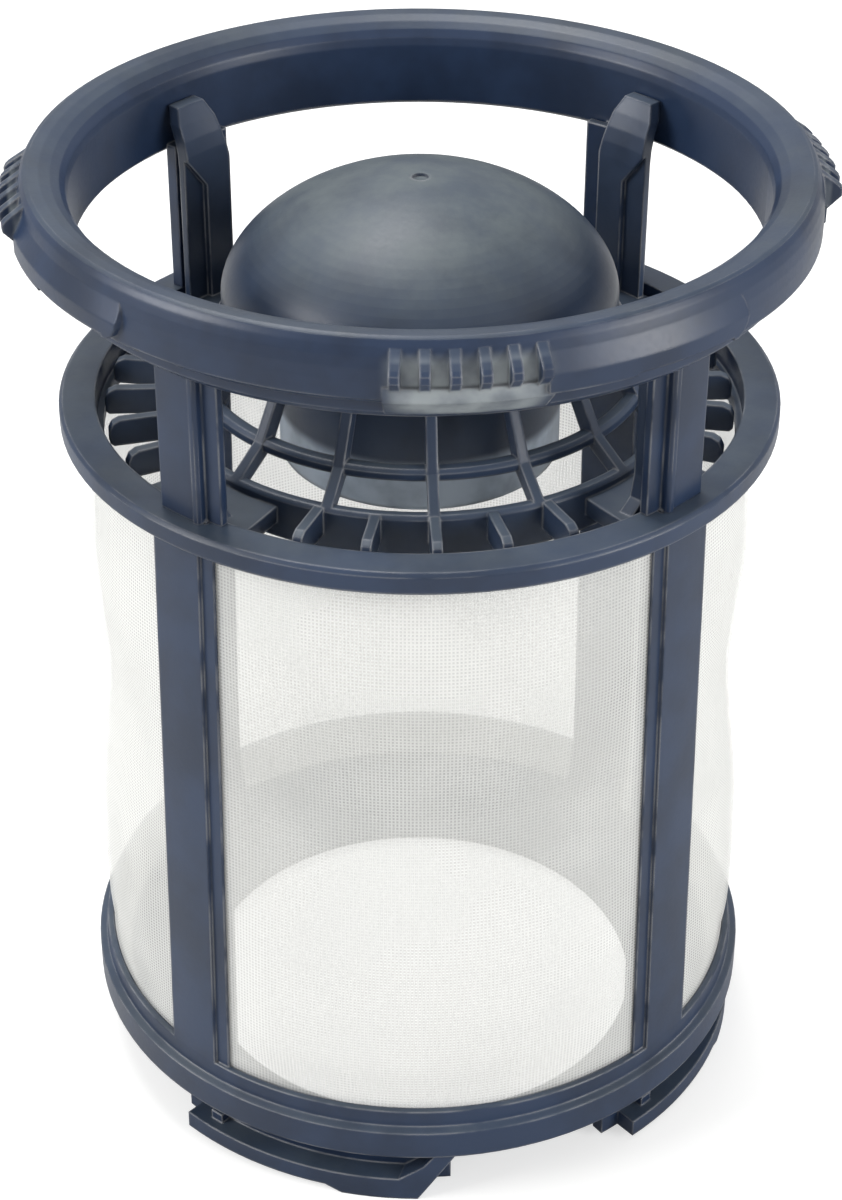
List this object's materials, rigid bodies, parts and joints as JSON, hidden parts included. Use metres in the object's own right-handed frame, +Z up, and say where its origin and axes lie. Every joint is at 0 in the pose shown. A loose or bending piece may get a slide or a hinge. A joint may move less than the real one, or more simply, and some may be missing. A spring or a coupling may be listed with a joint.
{
  "type": "dishwasher filter",
  "caption": "Cylindrical dishwasher filter: white mesh basket in a ribbed frame, domed coarse strainer above it, bayonet feet below and a gripped handle ring on posts.",
  "frame": {"origin": "centre of the plane that the feet stand on", "axes": "+Z up along the basket's axis, -Y towards the front grip"},
  "size_m": [0.0892, 0.0892, 0.1147],
  "materials": {
    "frame_plastic": "satin moulded",
    "mesh_fabric": "woven nylon",
    "strainer_plastic": "satin moulded",
    "ring_plastic": "satin moulded"
  },
  "bodies": {
    "root": {"filter_frame": "frame_plastic", "mesh_sleeve": "mesh_fabric", "coarse_filter": "strainer_plastic", "dome_cap": "strainer_plastic", "handle_ring": "ring_plastic"}
  },
  "joints": []
}
